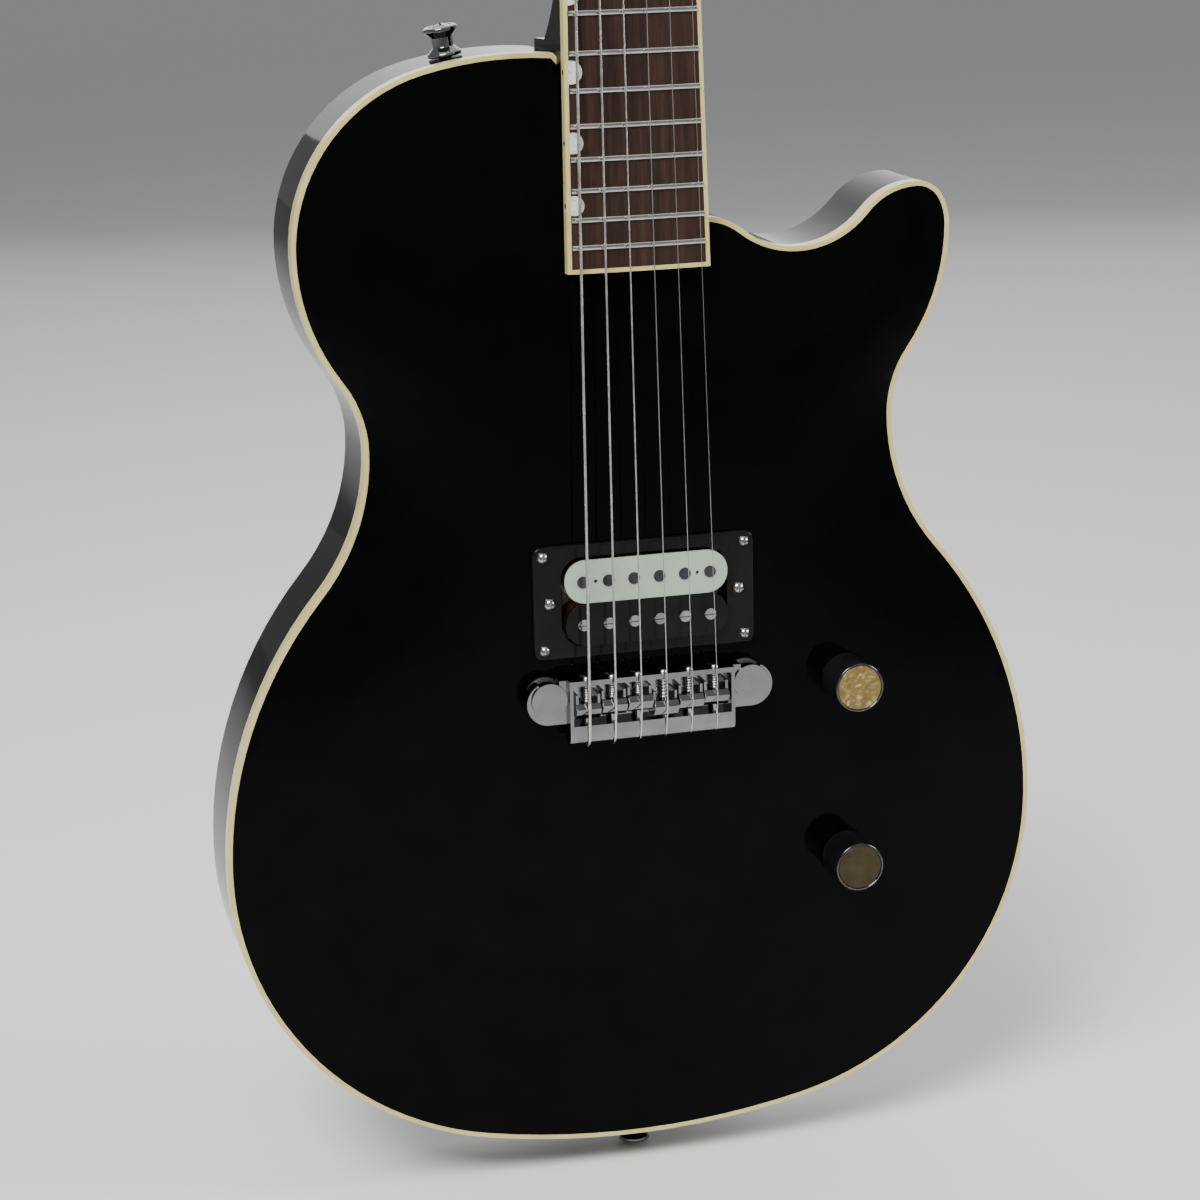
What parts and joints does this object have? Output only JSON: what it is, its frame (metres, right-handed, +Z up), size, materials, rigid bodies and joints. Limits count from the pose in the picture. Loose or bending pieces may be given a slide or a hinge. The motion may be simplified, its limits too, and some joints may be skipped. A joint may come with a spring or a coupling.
{
  "type": "electric guitar",
  "caption": "Single-cutaway carved-top electric guitar with set neck, angled headstock, one uncovered double-coil pickup, wrap-around bridge and two knobs.",
  "frame": {"origin": "where the end strap button is screwed to the body's tail side, on the centreline at mid depth of the side", "axes": "+Z up the neck, the face looks along -Y, +X is the treble side"},
  "size_m": [0.3382, 0.0976, 1.0136],
  "materials": {
    "black_lacquer": "high gloss clear lacquer over black, mirror reflections",
    "cream_binding": "satin cream celluloid",
    "rosewood": "oiled open-grain rosewood",
    "fret_nickel": "polished nickel silver wire",
    "pearl_marker": "pearl-like swirled plastic",
    "bone_nut": "polished bone-like plastic",
    "steel": "plain ground steel",
    "black_plastic": "moulded black plastic",
    "chrome": "bright chrome plating",
    "screw_chrome": "chrome plated screws",
    "spring_steel": "drawn spring wire",
    "string_steel": "nickel wound and plain steel",
    "pale_bobbin": "pale moulded plastic",
    "copper": "enamelled copper wire",
    "magnet": "cast magnet alloy",
    "nickel_plate": "nickel silver sheet",
    "anchor_steel": "plated steel insert",
    "knob_black": "dark polished barrel",
    "amber_cap": "amber pearl-like disc with fine texture",
    "wire_insulation": "insulated wire"
  },
  "bodies": {
    "guitar": {"body_back": "black_lacquer", "body_top": "black_lacquer", "top_binding": "cream_binding", "neck": "black_lacquer", "fingerboard": "rosewood", "fingerboard_binding": "cream_binding", "frets": "fret_nickel", "position_markers": "pearl_marker", "nut": "bone_nut", "truss_rod": "steel", "truss_rod_cover": "black_plastic", "tuner_housings": "chrome", "tuner_bushings": "chrome", "wood_screws": "screw_chrome", "strap_buttons": "chrome", "pickup_ring": "black_plastic", "potentiometers": "nickel_plate", "pot_nuts": "nickel_plate", "output_jack": "anchor_steel", "control_cover": "black_plastic", "bridge_body": "chrome", "bridge_studs": "chrome", "stud_anchors": "anchor_steel", "intonation_screws": "screw_chrome", "coil_springs": "spring_steel", "strings": "string_steel", "wiring": "wire_insulation"},
    "key_1": {"tuner_key_1": "chrome"},
    "post_1": {"tuner_post_1": "chrome"},
    "key_2": {"tuner_key_2": "chrome"},
    "post_2": {"tuner_post_2": "chrome"},
    "key_3": {"tuner_key_3": "chrome"},
    "post_3": {"tuner_post_3": "chrome"},
    "key_4": {"tuner_key_4": "chrome"},
    "post_4": {"tuner_post_4": "chrome"},
    "key_5": {"tuner_key_5": "chrome"},
    "post_5": {"tuner_post_5": "chrome"},
    "key_6": {"tuner_key_6": "chrome"},
    "post_6": {"tuner_post_6": "chrome"},
    "saddle_1_body": {"saddle_1": "chrome"},
    "saddle_2_body": {"saddle_2": "chrome"},
    "saddle_3_body": {"saddle_3": "chrome"},
    "saddle_4_body": {"saddle_4": "chrome"},
    "saddle_5_body": {"saddle_5": "chrome"},
    "saddle_6_body": {"saddle_6": "chrome"},
    "volume_control": {"volume_knob": "knob_black", "volume_knob_cap": "amber_cap", "volume_shaft": "anchor_steel"},
    "tone_control": {"tone_knob": "knob_black", "tone_knob_cap": "amber_cap", "tone_shaft": "anchor_steel"},
    "pickup": {"pickup_baseplate": "nickel_plate", "slug_bobbin": "pale_bobbin", "screw_bobbin": "black_plastic", "pickup_coils": "copper", "bar_magnet": "magnet", "slug_poles": "steel", "pole_screws": "screw_chrome"},
    "height_screw_bass_body": {"height_screw_bass": "screw_chrome"},
    "height_screw_treble_body": {"height_screw_treble": "screw_chrome"}
  },
  "joints": [
    {"name": "tuner_key_1_turn", "type": "hinge", "parent": "guitar", "child": "key_1", "pos_m": [-0.027, 0.01938, 0.87415], "axis": [1, 0, 0], "continuous": true, "deforming": ["strings"]},
    {"name": "tuner_post_1_turn", "type": "hinge", "parent": "guitar", "child": "post_1", "pos_m": [-0.027, -0.00251, 0.87214], "axis": [0, 0.9616, -0.2745], "continuous": true},
    {"name": "tuner_key_2_turn", "type": "hinge", "parent": "guitar", "child": "key_2", "pos_m": [-0.0285, 0.03091, 0.91454], "axis": [1, 0, 0], "continuous": true, "deforming": ["strings"]},
    {"name": "tuner_post_2_turn", "type": "hinge", "parent": "guitar", "child": "post_2", "pos_m": [-0.0285, 0.00902, 0.91253], "axis": [0, 0.9616, -0.2745], "continuous": true},
    {"name": "tuner_key_3_turn", "type": "hinge", "parent": "guitar", "child": "key_3", "pos_m": [-0.03, 0.04244, 0.95493], "axis": [1, 0, 0], "continuous": true, "deforming": ["strings"]},
    {"name": "tuner_post_3_turn", "type": "hinge", "parent": "guitar", "child": "post_3", "pos_m": [-0.03, 0.02054, 0.95292], "axis": [0, 0.9616, -0.2745], "continuous": true},
    {"name": "tuner_key_4_turn", "type": "hinge", "parent": "guitar", "child": "key_4", "pos_m": [0.03, 0.04244, 0.95493], "axis": [1, 0, 0], "continuous": true, "deforming": ["strings"]},
    {"name": "tuner_post_4_turn", "type": "hinge", "parent": "guitar", "child": "post_4", "pos_m": [0.03, 0.02054, 0.95292], "axis": [0, 0.9616, -0.2745], "continuous": true},
    {"name": "tuner_key_5_turn", "type": "hinge", "parent": "guitar", "child": "key_5", "pos_m": [0.0285, 0.03091, 0.91454], "axis": [1, 0, 0], "continuous": true, "deforming": ["strings"]},
    {"name": "tuner_post_5_turn", "type": "hinge", "parent": "guitar", "child": "post_5", "pos_m": [0.0285, 0.00902, 0.91253], "axis": [0, 0.9616, -0.2745], "continuous": true},
    {"name": "tuner_key_6_turn", "type": "hinge", "parent": "guitar", "child": "key_6", "pos_m": [0.027, 0.01938, 0.87415], "axis": [1, 0, 0], "continuous": true, "deforming": ["strings"]},
    {"name": "tuner_post_6_turn", "type": "hinge", "parent": "guitar", "child": "post_6", "pos_m": [0.027, -0.00251, 0.87214], "axis": [0, 0.9616, -0.2745], "continuous": true},
    {"name": "saddle_1_slide", "type": "slide", "parent": "guitar", "child": "saddle_1_body", "axis": [0, 0, 1], "range_m": [-0.0024, 0.0034], "deforming": ["strings", "coil_springs"]},
    {"name": "saddle_2_slide", "type": "slide", "parent": "guitar", "child": "saddle_2_body", "axis": [0, 0, 1], "range_m": [-0.0034, 0.0024], "deforming": ["strings", "coil_springs"]},
    {"name": "saddle_3_slide", "type": "slide", "parent": "guitar", "child": "saddle_3_body", "axis": [0, 0, 1], "range_m": [-0.0039, 0.0019], "deforming": ["strings", "coil_springs"]},
    {"name": "saddle_4_slide", "type": "slide", "parent": "guitar", "child": "saddle_4_body", "axis": [0, 0, 1], "range_m": [-0.001, 0.0048], "deforming": ["strings", "coil_springs"]},
    {"name": "saddle_5_slide", "type": "slide", "parent": "guitar", "child": "saddle_5_body", "axis": [0, 0, 1], "range_m": [-0.0025, 0.0033], "deforming": ["strings", "coil_springs"]},
    {"name": "saddle_6_slide", "type": "slide", "parent": "guitar", "child": "saddle_6_body", "axis": [0, 0, 1], "range_m": [-0.0031, 0.0027], "deforming": ["strings", "coil_springs"]},
    {"name": "volume_turn", "type": "hinge", "parent": "guitar", "child": "volume_control", "pos_m": [0.084, -0.0402, 0.1915], "axis": [0, -1, 0], "range_deg": [0, 300]},
    {"name": "tone_turn", "type": "hinge", "parent": "guitar", "child": "tone_control", "pos_m": [0.084, -0.0402, 0.116], "axis": [0, -1, 0], "range_deg": [0, 300]},
    {"name": "pickup_height", "type": "slide", "parent": "guitar", "child": "pickup", "axis": [0, -1, 0], "range_m": [-0.0035, 0.0028], "deforming": ["coil_springs", "wiring"]},
    {"name": "height_screw_bass_turn", "type": "hinge", "parent": "guitar", "child": "height_screw_bass_body", "pos_m": [-0.03845, -0.0302, 0.2331], "axis": [0, -1, 0], "range_deg": [-1500, 1850]},
    {"name": "height_screw_treble_turn", "type": "hinge", "parent": "guitar", "child": "height_screw_treble_body", "pos_m": [0.03845, -0.0302, 0.2331], "axis": [0, -1, 0], "range_deg": [-1500, 1850]}
  ],
  "couplings": [
    {"joint": "tuner_post_1_turn", "follows": "tuner_key_1_turn", "ratio": -0.066667},
    {"joint": "tuner_post_2_turn", "follows": "tuner_key_2_turn", "ratio": -0.066667},
    {"joint": "tuner_post_3_turn", "follows": "tuner_key_3_turn", "ratio": -0.066667},
    {"joint": "tuner_post_4_turn", "follows": "tuner_key_4_turn", "ratio": 0.066667},
    {"joint": "tuner_post_5_turn", "follows": "tuner_key_5_turn", "ratio": 0.066667},
    {"joint": "tuner_post_6_turn", "follows": "tuner_key_6_turn", "ratio": 0.066667},
    {"joint": "height_screw_bass_turn", "follows": "pickup_height", "rad_per_m": -8976},
    {"joint": "height_screw_treble_turn", "follows": "pickup_height", "rad_per_m": -8976}
  ]
}
